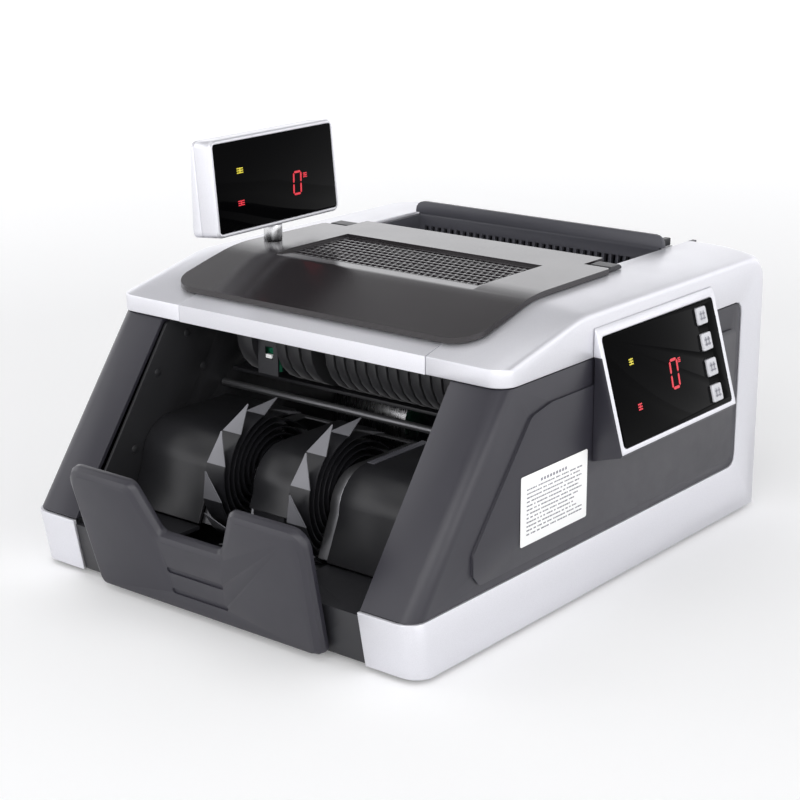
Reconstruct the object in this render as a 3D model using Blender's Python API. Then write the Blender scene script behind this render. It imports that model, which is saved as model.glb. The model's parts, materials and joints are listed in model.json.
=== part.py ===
"""Banknote counting machine with a hopper, a stacker pocket and a plug-in remote display.

Everything is drawn in millimetres in the machine's own axes: X to the right as seen from the
stacker, Y from the front to the back, Z up. Zero is the middle of the base's front edge, on
the underside of the shells. The frame empty then moves the machine so that the world origin
lies under the middle of its box, on the surface that the feet stand on.
"""
import math

import bmesh
import bpy
from mathutils import Matrix, Vector

MM = 0.001
GAP = 0.3                   # clearance between neighbouring solids

# Body shells
HALF_W = 135.0              # half the width over the two side shells
DEPTH = 326.0               # front edge of the base to the rear face
SKIN = 2.5                  # wall of the moulded shells
BAND_H = 30.4               # height of the base band
BAND_LEAN = 6.0             # how far the band's top edge stands in front of its foot
LIP_Y = 66.0                # setback of the front lip over the stacker
LIP_Z = 130.0               # underside of the lip
LIP_TOP = 139.5
SLOPE_Y = 132.0             # where the sloping top becomes level
EDGE_Z = 153.5              # outer edge of the level top
CROWN = 4.0                 # rise of the top towards the middle
CROWN_X = 104.0             # the crown is level inside this distance
BACK_R = 16.0               # rounding of the top rear corner, seen from the side
CORNER_R = 11.0             # rounding of the front upright corners, seen from above
REAR_R = 3.0                # rounding of the rear upright corners
BEND_R = 70.0               # rounding between the sloping and the level top
WINDOW_Y = 300.0            # rear edge of the dark side panel
WINDOW_R = 7.0
SEAM_X = 86.5               # seams between the side shells and the front cover
WELL_X = 91.0               # inner edge of the side shells beside the hopper
OPEN_X = 101.0              # half the width of the opening between the front pillars
PANEL_X = 134.2             # outer face of the dark side panels
PILLAR_R = 9.0              # rounding of the front pillars, seen from above
RAISED = 1.5                # height of the raised field on the side panel
FEET_H = 2.5
FOOT_R = 8.0

# Lid
COVER_REAR = 222.0
LID_W = 105.5
LID_FRONT = 77.0
LID_REAR = 228.0
LID_TOP = 161.0
LID_FRONT_TOP = 147.4
LID_T = 3.0
LID_AXIS = (216.0, 151.0)
RECESS = 1.5                # depth of the recess, which opens forward through the slope
RECESS_X = 70.0
RECESS_Y = (112.0, 191.0)
GRILLE_X = 66.0
GRILLE_Y = (134.0, 188.0)

# Hopper
GUIDE_Y = 283.0
GUIDE_TOP = 164.8
GUIDE_W = 91.0
CHUTE_R = 40.0
COMB_PITCH = 5.0
COMB_TEETH = 34

# Stacker
WHEEL_AXIS = (68.0, 50.5)
WHEEL_R = 45.5
WHEEL_HUB_R = 13.0
WHEEL_W = 14.0
WHEEL_X = 30.0
VANES = 12
VANE_SWEEP = math.radians(200)
VANE_T = 1.1
FENDER_R = 23.0
FENDER_TOP = 75.0
FENDER_FOOT = 29.4
SLOT_X = (14.0, 46.0)       # the wheels turn between these

# Transport
DRUM_AXIS = (118.0, 122.0)
DRUM_R = 27.0
FEED_AXIS = (205.0, 118.0)
FEED_R = 20.0
PINCH_AXIS = (152.5, 110.8)
PINCH_R = 8.9
RETARD_AXIS = (187.0, 142.5)
RETARD_R = 9.8
SHAFT_R = 4.0
MOTOR_AXIS = (232.0, 42.0)
STACK_MOTOR_AXIS = (150.0, 30.0)
PULLEY_X = (-111.0, -101.5)
FEED_PULLEY_X = (-121.0, -112.0)
FEED_PULLEY_R = 14.0
DRUM_PULLEY_R = 16.0
WHEEL_PULLEY_R = 14.0
MOTOR_PULLEY_R = 10.0
STACK_MOTOR_PULLEY_R = 9.0
PLATE_X = (99.0, 100.7)     # chassis plates

# Catch tray, in its own axes: the pivot is zero, Z up along the tray, Y to its back
TRAY_PIVOT = (-4.5, 5.0)
TRAY_LEAN = math.radians(14.5)
TRAY_Y = (-4.4, 2.0)
TRAY_Z = (-3.0, 69.0)
TRAY_W = (80.0, 84.0)       # half width at the foot and at the top
TRAY_RIM = 4.0
TRAY_PIN_R = 1.2
LUG_R = 2.4                 # the two lugs that hold the tray's pin
LUG_X = (60.0, 70.0)

# Operating display on the right side, in its own axes: X out of the face, Z up along it
DISPLAY_Y = (143.6, 262.0)
DISPLAY_TOP = (136.0, 142.6)
DISPLAY_FOOT = (153.5, 80.9)
BEZEL = (3.1, 2.2)          # width of the frame at the ends, and above and below
KEY = 9.6
KEY_PITCH = 14.5
KEY_DEPTH = 1.8              # a key reaches this far behind the face
KEY_RISE = 1.4              # and stands this far in front of it

# Remote display
POST_XY = (-94.0, 152.0)
POST_R = 5.5
REMOTE_W = 107.4
REMOTE_H = 54.3
REMOTE_X = (-2.0, 10.0)     # the front part's depth
REMOTE_BACK = (-10.6, -5.4)  # the back part's rear face, at its foot and at its top
REMOTE_Z = 198.8
REMOTE_SHIFT = 6.7
REMOTE_TILT = math.radians(5.2)
REMOTE_YAW = math.radians(2.0)

# The middle of the machine's box, which the frame empty brings to the origin
BOX_MIDDLE = (9.75, 151.6)


# ---------------------------------------------------------------- materials

def material(name, colour, roughness, metallic=0.0):
    mat = bpy.data.materials.new(name)
    mat.use_nodes = True
    shader = mat.node_tree.nodes["Principled BSDF"]
    shader.inputs["Base Color"].default_value = (*colour, 1.0)
    shader.inputs["Roughness"].default_value = roughness
    shader.inputs["Metallic"].default_value = metallic
    mat.diffuse_color = (*colour, 1.0)
    return mat


def make_materials():
    return {
        "silver": material("silver_paint", (0.62, 0.62, 0.65), 0.35, 0.4),
        "graphite": material("graphite_plastic", (0.09, 0.087, 0.105), 0.5),
        "black": material("black_plastic", (0.03, 0.03, 0.032), 0.45),
        "lid": material("lid_plastic", (0.045, 0.042, 0.045), 0.3),
        "glass": material("display_glass", (0.005, 0.005, 0.006), 0.06),
        "key": material("key_plastic", (0.6, 0.6, 0.62), 0.5),
        "steel": material("plated_steel", (0.6, 0.6, 0.6), 0.3, 1.0),
        "chassis": material("black_steel", (0.03, 0.03, 0.03), 0.55, 0.3),
        "rubber": material("rubber", (0.03, 0.03, 0.03), 0.8),
        "paper": material("label_paper", (0.85, 0.85, 0.84), 0.7),
        "board": material("circuit_board", (0.02, 0.2, 0.1), 0.5),
    }


# ---------------------------------------------------------------- outlines

def arc(centre, radius, start, end, steps):
    """Points along an arc, angles in degrees."""
    points = []
    for i in range(steps + 1):
        a = math.radians(start + (end - start) * i / steps)
        points.append((centre[0] + radius * math.cos(a), centre[1] + radius * math.sin(a)))
    return points


def rounded(corners, steps=4):
    """An outline from (u, v, radius) corners, each rounded by its radius."""
    points = []
    count = len(corners)
    for i, (u, v, radius) in enumerate(corners):
        here = Vector((u, v))
        if radius <= 0:
            points.append((u, v))
            continue
        to_last = (Vector(corners[i - 1][:2]) - here).normalized()
        to_next = (Vector(corners[(i + 1) % count][:2]) - here).normalized()
        half = to_last.angle(to_next) / 2
        centre = here + (to_last + to_next).normalized() * (radius / math.sin(half))
        first = here + to_last * (radius / math.tan(half)) - centre
        last = here + to_next * (radius / math.tan(half)) - centre
        start = math.atan2(first.y, first.x)
        turn = math.atan2(first.cross(last), first.dot(last))
        for k in range(steps + 1):
            a = start + turn * k / steps
            points.append((centre.x + radius * math.cos(a), centre.y + radius * math.sin(a)))
    return points


def bend(before, corner, after, radius, steps=4):
    """The rounded corner of an open line."""
    return rounded([(*before, 0), (*corner, radius), (*after, 0)], steps)[1:-1]


def corner_stations(half_width, radius):
    """Places along X that follow a rounded upright corner evenly."""
    return [half_width - radius * (1 - math.sin(math.radians(a))) for a in range(0, 91, 15)]


def rectangle(u0, v0, u1, v1, radius=0.0, steps=3):
    corners = [(u0, v0, radius), (u1, v0, radius), (u1, v1, radius), (u0, v1, radius)]
    return rounded(corners, steps)


def square(u, v, reach, radius=0.0):
    return rectangle(u - reach, v - reach, u + reach, v + reach, radius, 2)


def circle(centre, radius, steps=20):
    return arc(centre, radius, 0, 360 - 360 / steps, steps - 1)


def thick_path(path, thickness):
    """The outline of a sheet whose left-hand face follows the path."""
    other = []
    for i, (u, v) in enumerate(path):
        before = Vector(path[max(i - 1, 0)])
        after = Vector(path[min(i + 1, len(path) - 1)])
        along = (after - before).normalized()
        other.append((u + along.y * thickness, v - along.x * thickness))
    return path + other[::-1]


def belt_outline(a, radius_a, b, radius_b, steps=8):
    """A loop drawn tight round two pulleys, b being anywhere round a."""
    between = Vector(b) - Vector(a)
    heading = math.degrees(math.atan2(between.y, between.x))
    spread = math.degrees(math.acos((radius_a - radius_b) / between.length))
    return (arc(b, radius_b, heading - spread, heading + spread, steps)
            + arc(a, radius_a, heading + spread, heading + 360 - spread, steps))


# ---------------------------------------------------------------- solids

def solid(bm):
    """An object from a bmesh drawn in millimetres, with its faces turned outwards."""
    bmesh.ops.remove_doubles(bm, verts=bm.verts, dist=0.0005)
    bmesh.ops.recalc_face_normals(bm, faces=bm.faces)
    bmesh.ops.triangulate(bm, faces=[face for face in bm.faces if len(face.verts) > 4])
    if bm.calc_volume(signed=True) < 0:
        bmesh.ops.reverse_faces(bm, faces=bm.faces)
    mesh = bpy.data.meshes.new("solid")
    bm.to_mesh(mesh)
    bm.free()
    obj = bpy.data.objects.new("solid", mesh)
    bpy.context.scene.collection.objects.link(obj)
    return obj


def loft(sections):
    """A closed solid through sections that have the same number of points each."""
    bm = bmesh.new()
    rings = []
    for section in sections:
        rings.append([bm.verts.new(point) for point in section])
    for near, far in zip(rings, rings[1:]):
        for i in range(len(near)):
            j = (i + 1) % len(near)
            bm.faces.new((near[i], near[j], far[j], far[i]))
    bm.faces.new(rings[0])
    bm.faces.new(rings[-1])
    return solid(bm)


def placed(axis, height, point):
    """The 3-D point of an outline point: (y, z) along X, (x, z) along Y, (x, y) along Z."""
    u, v = point
    if axis == "x":
        return (height, u, v)
    if axis == "y":
        return (u, height, v)
    return (u, v, height)


def prism(axis, low, high, outline):
    return loft([[placed(axis, height, point) for point in outline] for height in (low, high)])


def box(x0, x1, y0, y1, z0, z1):
    return prism("z", z0, z1, rectangle(x0, y0, x1, y1))


def turned(centre, profile, steps=24, axis="x"):
    """A solid of revolution: profile is a closed outline of (place along the axis, radius)."""
    bm = bmesh.new()
    rings = []
    for k in range(steps):
        a = 2 * math.pi * k / steps
        ring = []
        for along, radius in profile:
            u = centre[0] + radius * math.cos(a)
            v = centre[1] + radius * math.sin(a)
            ring.append(bm.verts.new(placed(axis, along, (u, v))))
        rings.append(ring)
    count = len(profile)
    for k in range(steps):
        near, far = rings[k], rings[(k + 1) % steps]
        for i in range(count):
            j = (i + 1) % count
            bm.faces.new((near[i], near[j], far[j], far[i]))
    return solid(bm)


def rod(centre, radius, low, high, steps=20, axis="x"):
    return prism(axis, low, high, circle(centre, radius, steps))


def combined(target, others, operation):
    for other in others:
        modifier = target.modifiers.new("combine", "BOOLEAN")
        modifier.operation = operation
        modifier.solver = "EXACT"
        modifier.object = other
        graph = bpy.context.evaluated_depsgraph_get()
        mesh = bpy.data.meshes.new_from_object(target.evaluated_get(graph))
        target.modifiers.clear()
        target.data = mesh
        bpy.data.objects.remove(other)
    return target


def cut(target, *cutters):
    return combined(target, cutters, "DIFFERENCE")


def fused(target, *others):
    return combined(target, others, "UNION")


def mirrored(obj):
    """A copy of an unplaced solid on the other side of the machine's middle plane."""
    mesh = obj.data.copy()
    mesh.transform(Matrix.Scale(-1, 4, (1, 0, 0)))
    mesh.flip_normals()
    copy = bpy.data.objects.new("solid", mesh)
    bpy.context.scene.collection.objects.link(copy)
    return copy


def node(name, obj, mat, parent, origin=(0, 0, 0), smooth=False):
    """Name a solid, give it its material and set its origin, in the parent's axes."""
    obj.name = name
    obj.data.name = name
    obj.data.transform(Matrix.Translation(-Vector(origin)))
    obj.data.transform(Matrix.Scale(MM, 4))
    obj.data.materials.clear()
    obj.data.materials.append(mat)
    if smooth:
        obj.data.shade_smooth()
        obj.data.set_sharp_from_angle(angle=math.radians(35))
    else:
        obj.data.shade_flat()
    obj.parent = parent
    obj.location = Vector(origin) * MM
    return obj


def axes(name, parent, origin, rotation=(0, 0, 0)):
    """An empty that carries the pieces drawn in axes of their own."""
    empty = bpy.data.objects.new(name, None)
    bpy.context.scene.collection.objects.link(empty)
    empty.parent = parent
    empty.location = Vector(origin) * MM
    empty.rotation_euler = rotation
    return empty


# ---------------------------------------------------------------- side shells and panels

def recede(x, half_width, radius):
    """How far a face draws back at x to round an upright corner."""
    over = max(0.0, x - (half_width - radius))
    return radius - math.sqrt(max(0.0, radius ** 2 - over ** 2))


def crown(x):
    """Rise of the top above its outer edge."""
    share = max(0.0, x - CROWN_X) / (HALF_W - CROWN_X)
    return CROWN * (1 - share ** 2)


def top_line(x, drop, front, back):
    """The top of the body from the lip to the rear face, drop being its depth below."""
    level = EDGE_Z + crown(min(x, HALF_W)) - drop
    radius = BACK_R - drop
    edge = 1.2 * recede(x, HALF_W - drop, 2.5)
    corner = arc((DEPTH - BACK_R - back, level - edge - radius), radius, 90, 0, 4)
    lip = (front, LIP_TOP - drop - edge)
    return [lip] + bend(lip, (SLOPE_Y, level - edge), corner[0], BEND_R) + corner


def shell_section(x):
    """The C-shaped side of a shell: base band, rear band and top band."""
    back = recede(x, HALF_W, REAR_R)
    lip = LIP_Y + recede(x, HALF_W, CORNER_R)
    foot = recede(x, HALF_W, CORNER_R)
    lower = arc((WINDOW_Y - WINDOW_R, BAND_H + WINDOW_R), WINDOW_R, -90, 0, 3)
    upper = arc((WINDOW_Y - WINDOW_R, LIP_Z - WINDOW_R), WINDOW_R, 0, 90, 3)
    outline = [(foot, 0), (foot - BAND_LEAN, BAND_H)] + lower + upper + [(lip, LIP_Z)]
    outline += top_line(x, 0, lip, back) + [(DEPTH - back, 0)]
    return [(x, y, z) for y, z in outline]


def hollow_section(x):
    """The space inside a shell, open below."""
    front = SKIN + recede(x, HALF_W - SKIN, CORNER_R - SKIN)
    back = recede(x, HALF_W - SKIN, REAR_R)
    outline = [(front, -10), (front - BAND_LEAN, BAND_H), (LIP_Y + front, LIP_Z - SKIN)]
    outline += top_line(x, SKIN, LIP_Y + front, back)
    outline += [(DEPTH - SKIN - back, -10)]
    return [(x, y, z) for y, z in outline]


def make_shell():
    stations = [SEAM_X, CROWN_X, 114] + corner_stations(HALF_W, CORNER_R)
    outer = loft([shell_section(x) for x in stations])
    inner = [SEAM_X - 5, CROWN_X, 114, 124, 128, 131, 132.3]
    cut(outer, loft([hollow_section(x) for x in inner]),
        box(SEAM_X - 5, OPEN_X, -20, 60, -10, 125),
        box(SEAM_X - 5, OPEN_X, WINDOW_Y - 10, DEPTH + 10, -10, LIP_Z + 7),
        box(SEAM_X - 5, WELL_X, COVER_REAR + 4, DEPTH + 10, 100, 200))
    return outer


def panel_section(x, outer, inset):
    """Side view of the dark panel with its slanting front pillar."""
    lean = (LIP_Y + BAND_LEAN) / (LIP_Z - BAND_H)
    low, high = BAND_H + GAP + inset, LIP_Z - 0.8 - inset
    front = 2.0 - BAND_LEAN + inset * 1.25 + recede(x, outer, PILLAR_R - inset)
    back = WINDOW_Y - GAP - inset
    slope = (high - BAND_H) * lean
    foot = (low - BAND_H) * lean
    outline = rounded([(front + foot, low, 0), (front + slope, high, 0),
                       (back, high, WINDOW_R), (back, low, WINDOW_R)])
    return [(x, y, z) for y, z in outline]


def make_side_panel():
    stations = [OPEN_X + GAP] + corner_stations(PANEL_X, PILLAR_R)
    panel = loft([panel_section(x, PANEL_X, 0) for x in stations])
    inside = [90] + corner_stations(PANEL_X - SKIN, PILLAR_R - SKIN)[::2]
    cut(panel, loft([panel_section(x, PANEL_X - SKIN, SKIN) for x in inside]))
    cut(panel, prism("x", 90, 126, [(22, 20), (310, 20), (310, 140), (100, 140)]))
    flange = [(18, 24), (306, 24), (306, 136), (86, 136)]
    field = rounded([(41, 42, 0), (41, 53, 5), (89, 112, 8), (106, 115.5, 10),
                     (293, 115.5, 5), (293, 36, 5), (46, 36, 4)])
    seat = HALF_W - SKIN - GAP      # the flange lies behind the shell's wall
    fused(panel, prism("x", seat - SKIN, seat, flange),
          prism("x", PANEL_X - 1, PANEL_X + RAISED, field))
    return panel


def make_body(mats, frame):
    shell = make_shell()
    node("left_shell", mirrored(shell), mats["silver"], frame, smooth=True)
    node("right_shell", shell, mats["silver"], frame, smooth=True)
    panel = make_side_panel()
    node("left_side_panel", mirrored(panel), mats["graphite"], frame, smooth=True)
    node("right_side_panel", panel, mats["graphite"], frame, smooth=True)


# ---------------------------------------------------------------- base, rear and chassis

def make_base(mats, frame):
    """The bottom pan, with the raised shelf that the counted notes stand on."""
    half = OPEN_X - GAP
    floor, thick, shelf = 1.0, 2.0, 28.0
    front = (1.8 - BAND_LEAN, shelf)
    apron = [(1, floor), front, (36, shelf), (36, shelf - 2.2), (front[0] + 2.7, shelf - 2.2),
             (3.5, floor)]
    pan = prism("x", -half, half, apron)
    fused(pan, box(-half, half, 2, DEPTH - 3.5, floor, floor + thick),
          box(4 - HALF_W, HALF_W - 4, 18, DEPTH - 16, floor, floor + thick))
    foot = TRAY_PIVOT[1]
    lug = [(1.5, foot - LUG_R)] + arc(TRAY_PIVOT, LUG_R, 270, 90, 8) + [(1.5, foot + LUG_R)]
    for side in (-1, 1):
        inner, outer = sorted((side * LUG_X[0], side * LUG_X[1]))
        fused(pan, prism("x", inner, outer, lug))
        cut(pan, rod(TRAY_PIVOT, TRAY_PIN_R + GAP, inner - 1, outer + 1, 12))
    for low in (-SLOT_X[1], SLOT_X[0]):
        cut(pan, box(low, low + SLOT_X[1] - SLOT_X[0], 20, 40, shelf - 4, shelf + 2))
    node("base_pan", pan, mats["black"], frame)
    places = {"front": 30.0, "rear": DEPTH - 34.0}
    for end, y in places.items():
        for side, x in (("left", 20 - HALF_W), ("right", HALF_W - 20)):
            foot = prism("z", -FEET_H, floor - GAP, circle((x, y), FOOT_R, 16))
            node(f"foot_{end}_{side}", foot, mats["rubber"], frame, (x, y, -FEET_H), True)


def make_rear(mats, frame):
    half = OPEN_X - GAP
    outline = [(-half, 1), (half, 1), (half, 133), (90.3, 133), (90.3, 149.5),
               (-90.3, 149.5), (-90.3, 133), (-half, 133)]
    cover = prism("y", DEPTH - 2.3, DEPTH, outline)
    fused(cover, box(-87.2, 87.2, GUIDE_Y + 6, DEPTH - 1, 147, 149.5))
    slots = []
    for row in range(9):
        z = 60 + row * 7
        slots.append(prism("y", DEPTH - 5, DEPTH + 2, rectangle(-45, z, 45, z + 3)))
    inlet = prism("y", DEPTH - 5, DEPTH + 2, rectangle(-74, 20, -46, 40.5))
    switch = prism("y", DEPTH - 5, DEPTH + 2, rectangle(-32.5, 19.7, -17.5, 40.3))
    cut(cover, inlet, switch, *slots)
    node("rear_cover", cover, mats["graphite"], frame)
    make_inlet(mats, frame)


def make_inlet(mats, frame):
    """Three-pin mains inlet and the rocker switch beside it."""
    flange = prism("y", DEPTH + GAP, DEPTH + 2, rectangle(-76, 18, -44, 42.5, 3))
    fused(flange, prism("y", DEPTH - 22, DEPTH + 1, rectangle(-73.6, 20.4, -46.4, 40.1)))
    socket = rounded([(-72, 22.5, 2), (-48, 22.5, 2), (-48, 34, 2), (-52.5, 38.7, 1),
                      (-67.5, 38.7, 1), (-72, 34, 2)], 2)
    cut(flange, prism("y", DEPTH - 18, DEPTH + 5, socket))
    for x, z in ((-67, 28), (-60, 32), (-53, 28)):
        fused(flange, box(x - 1, x + 1, DEPTH - 19, DEPTH - 3, z - 2, z + 2))
    node("power_inlet", flange, mats["black"], frame)
    axis = (DEPTH - 6, 30)
    rocker = [(axis[0] - 3, 24), (DEPTH + 2.2, 21.6), (DEPTH + 0.4, 30), (DEPTH + 1.0, 38.4),
              (axis[0] - 3, 37)]
    node("power_switch", prism("x", -31.5, -18.5, rocker), mats["black"], frame,
         (-25, axis[0], axis[1]))


def make_chassis(mats, frame):
    outline = [(0.2, 28.4), (68.5, 126.5), (97, 137), (205, 137), (205, 154), (227, 154),
               (227, 128), (296, 128), (296, 3.4), (36.4, 3.4), (36.4, 28.4)]
    plate = prism("x", *PLATE_X, outline)
    holes = [rod(axis, SHAFT_R + 0.4, 90, 105, 16) for axis in
             (WHEEL_AXIS, DRUM_AXIS, FEED_AXIS, PINCH_AXIS, STACK_MOTOR_AXIS, MOTOR_AXIS)]
    holes.append(rod(LID_AXIS, 2.3, 90, 105, 12))
    cut(plate, *holes)
    node("chassis_plate_left", mirrored(plate), mats["chassis"], frame)
    node("chassis_plate_right", plate, mats["chassis"], frame)
    inner = PLATE_X[0] - GAP
    node("cross_rod", rod((112, 83), 2.2, -inner, inner, 12), mats["steel"], frame, smooth=True)
    path = arc(DRUM_AXIS, 30, -45, -95, 6)
    guide = prism("x", 4 - inner, inner - 4, thick_path(path, -2.0))
    node("note_guide", guide, mats["black"], frame)
    board = box(-54, -42, 99.8, 101.4, 101, 132)
    fused(board, box(-50.5, -45.5, 97, 100.5, 104.5, 108))
    node("sensor_board", board, mats["board"], frame)
    main = box(5, 92, 185, 285, 9, 10.6)
    fused(main, box(15, 40, 250, 278, 10, 34), box(52, 84, 240, 262, 10, 30),
          box(20, 50, 200, 226, 10, 14))
    node("main_board", main, mats["board"], frame)


# ---------------------------------------------------------------- lid

def make_lid(mats, frame):
    """The front cover and the black plate on it open as one lid, with the post they carry."""
    half = SEAM_X - GAP
    level = EDGE_Z + CROWN
    outline = [(LIP_Y, LIP_Z, 0), (LIP_Y, LIP_TOP, 0), (SLOPE_Y, level, BEND_R),
               (COVER_REAR, level, 0), (COVER_REAR, level - SKIN, 0),
               (SLOPE_Y, level - SKIN, BEND_R - SKIN),
               (LIP_Y + SKIN, LIP_TOP - SKIN + 0.7, 0), (LIP_Y + SKIN, LIP_Z, 0)]
    cover = prism("x", -half, half, rounded(outline))
    margin = 3
    vent = rectangle(margin - GRILLE_X, GRILLE_Y[0] + margin, GRILLE_X - margin, GRILLE_Y[1] - margin)
    cut(cover, prism("z", 140, 170, vent))
    y, z = LID_AXIS
    for side in (-1, 1):
        inner, outer = sorted((side * 80.5, side * 85.0))
        fused(cover, box(inner, outer, y - 5, y + 5, z - 4.5, level - SKIN + 0.5))
        cut(cover, rod(LID_AXIS, 2.4, inner - 1, outer + 1, 12))
        low, high = sorted((side * 79.0, side * 100.5))
        name = "lid_pin_left" if side < 0 else "lid_pin_right"
        node(name, rod(LID_AXIS, 2.0, low, high, 12), mats["steel"], frame, smooth=True)
    pivot = (0, y, z)
    node("front_cover", cover, mats["silver"], frame, pivot)
    node("top_lid", make_lid_plate(), mats["lid"], frame, pivot)
    post = rod(POST_XY, POST_R, LID_TOP + GAP, REMOTE_Z - REMOTE_H / 2 - 1, 24, "z")
    node("display_post", post, mats["steel"], frame, (*POST_XY, LID_TOP), True)


def make_lid_plate():
    side = [(LID_FRONT, LID_FRONT_TOP, 0), (SLOPE_Y, LID_TOP, BEND_R), (LID_REAR, LID_TOP, 0),
            (LID_REAR, LID_TOP - LID_T, 0), (SLOPE_Y, LID_TOP - LID_T, BEND_R - LID_T),
            (LID_FRONT, LID_FRONT_TOP - LID_T, 0)]
    plate = prism("x", -LID_W, LID_W, rounded(side))
    notch = LID_AXIS[0] - 8
    tail = SEAM_X - 0.7         # behind the notch the plate turns down between the shells
    half = [(LID_W - 5, LID_FRONT - 1, 20), (LID_W, 112, 12), (LID_W - 2, SLOPE_Y + 8, 6),
            (LID_W - 3, notch, 2), (tail, notch, 1), (tail, LID_REAR + 1, 0)]
    other = [(-x, y, radius) for x, y, radius in half[::-1]]
    combined(plate, [prism("z", 130, 175, rounded(half + other, 5))], "INTERSECT")
    recess = prism("z", LID_TOP - RECESS, LID_TOP + 5,
                   rectangle(-RECESS_X, RECESS_Y[0], RECESS_X, RECESS_Y[1], 2))
    slots = []
    rows = 8
    for row in range(rows):
        y = GRILLE_Y[0] + 4.0 + row * (GRILLE_Y[1] - GRILLE_Y[0] - 5.0) / rows
        slots.append(prism("z", LID_TOP - 6, LID_TOP + 2, rectangle(3 - GRILLE_X, y, -1, y + 3)))
        slots.append(prism("z", LID_TOP - 6, LID_TOP + 2, rectangle(1, y, GRILLE_X - 3, y + 3)))
    return cut(plate, recess, *slots)


# ---------------------------------------------------------------- hopper

def make_hopper(mats, frame):
    centre = (GUIDE_Y - CHUTE_R, 150)
    path = [(GUIDE_Y, GUIDE_TOP - 5)] + arc(centre, CHUTE_R, 0, -70, 7) + [(234, 108)]
    chute = prism("x", -88.5, 88.5, thick_path(path, -SKIN))
    crest = rounded([(-GUIDE_W, 157.6, 0), (GUIDE_W, 157.6, 0), (GUIDE_W, GUIDE_TOP, 6),
                     (-GUIDE_W, GUIDE_TOP, 6)])
    fused(chute, prism("y", GUIDE_Y - 0.2, GUIDE_Y + SKIN + 0.2, crest))
    teeth = []
    for k in range(COMB_TEETH):
        x = (k - (COMB_TEETH - 1) / 2) * COMB_PITCH
        teeth.append(box(x - 1.5, x + 1.5, 262, 295, 130, 149.5))
    cut(chute, *teeth)
    for side in (-1, 1):
        inner, outer = sorted((side * 88.0, side * 90.5))
        fused(chute, box(inner, outer, 231, 322, 104, 156))
    node("hopper", chute, mats["black"], frame)
    place = (0, 306)
    knob = prism("z", 149.5 + GAP, 157, circle(place, 8, 24))
    cut(knob, box(-1, 1, 296, 316, 155.5, 160))
    node("thickness_knob", knob, mats["black"], frame, (*place, 153), True)


# ---------------------------------------------------------------- transport

def ribbed(x0, x1, core, ribs):
    """A profile with a bore and evenly spaced ribs between x0 and x1."""
    bore = SHAFT_R + GAP
    groove = 1.4
    profile = [(x1, bore), (x0, bore)]
    pitch = (x1 - x0 + groove) / ribs
    for k in range(ribs):
        start = x0 + k * pitch
        end = start + pitch - groove
        profile += [(start, DRUM_R), (end, DRUM_R)]
        if k < ribs - 1:
            profile += [(end, core), (start + pitch, core)]
    return profile


def make_transport(mats, frame):
    axis = (0, *DRUM_AXIS)
    bore = SHAFT_R + GAP
    reach = PLATE_X[1] + 2
    node("transport_shaft", rod(DRUM_AXIS, SHAFT_R, FEED_PULLEY_X[0] - 1, reach, 16),
         mats["steel"], frame, axis, True)
    right = turned(DRUM_AXIS, ribbed(-2, 84, DRUM_R - 3, 12), 20)
    node("transport_drum_right", right, mats["rubber"], frame, axis, True)
    left = [(-12, bore), (-67, bore), (-67, DRUM_R), (-56, DRUM_R), (-56, 9), (-38, 9),
            (-38, DRUM_R), (-31, DRUM_R), (-31, 24), (-29.5, 24), (-29.5, DRUM_R), (-21, DRUM_R),
            (-21, 24), (-19.5, 24), (-19.5, DRUM_R), (-12, DRUM_R)]
    node("transport_drum_left", turned(DRUM_AXIS, left, 20), mats["rubber"], frame, axis, True)
    twin = [(PULLEY_X[1], bore), (FEED_PULLEY_X[0], bore), (FEED_PULLEY_X[0], FEED_PULLEY_R),
            (PULLEY_X[0] - GAP, FEED_PULLEY_R), (PULLEY_X[0] - GAP, DRUM_PULLEY_R),
            (PULLEY_X[1], DRUM_PULLEY_R)]
    node("transport_pulley", turned(DRUM_AXIS, twin, 20), mats["black"], frame, axis, True)

    roller = rod(PINCH_AXIS, 3.6, -100.5, 100.5, 14)
    fused(roller, rod(PINCH_AXIS, PINCH_R, 40, 62, 20), rod(PINCH_AXIS, PINCH_R, -62, -40, 20))
    node("pinch_roller", roller, mats["rubber"], frame, (0, *PINCH_AXIS), True)

    feed = (0, *FEED_AXIS)
    node("feed_shaft", rod(FEED_AXIS, SHAFT_R, FEED_PULLEY_X[0] - 1, reach, 16),
         mats["steel"], frame, feed, True)
    tyres = [(48, bore), (-48, bore), (-48, FEED_R), (-22, FEED_R), (-22, 9), (22, 9),
             (22, FEED_R), (48, FEED_R)]
    node("feed_roller", turned(FEED_AXIS, tyres), mats["rubber"], frame, feed, True)
    low, high = FEED_PULLEY_X
    wheel = pulley(FEED_AXIS, FEED_PULLEY_R, low, high)
    node("feed_pulley", wheel, mats["black"], frame, feed, True)
    loop = belt(DRUM_AXIS, FEED_PULLEY_R, FEED_AXIS, FEED_PULLEY_R, low + 1, high - 1)
    node("feed_belt", loop, mats["rubber"], frame)
    drag = rod(RETARD_AXIS, 4, -PLATE_X[0] + GAP, PLATE_X[0] - GAP, 14)
    fused(drag, rod(RETARD_AXIS, RETARD_R, -16, 16, 20))
    node("retard_roller", drag, mats["rubber"], frame, (0, *RETARD_AXIS), True)


def pulley(axis, radius, low=PULLEY_X[0], high=PULLEY_X[1]):
    """A flat pulley with a bore for its shaft."""
    profile = [(high, SHAFT_R + GAP), (low, SHAFT_R + GAP), (low, radius), (high, radius)]
    return turned(axis, profile, 20)


def belt(a, radius_a, b, radius_b, low=PULLEY_X[0] + 1, high=PULLEY_X[1] - 1):
    """A flat belt that clears its two pulleys."""
    clear, thick = GAP + 0.3, 1.4
    inner = belt_outline(a, radius_a + clear, b, radius_b + clear)
    outer = belt_outline(a, radius_a + clear + thick, b, radius_b + clear + thick)
    return cut(prism("x", low, high, outer), prism("x", low - 1, high + 1, inner))


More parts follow.
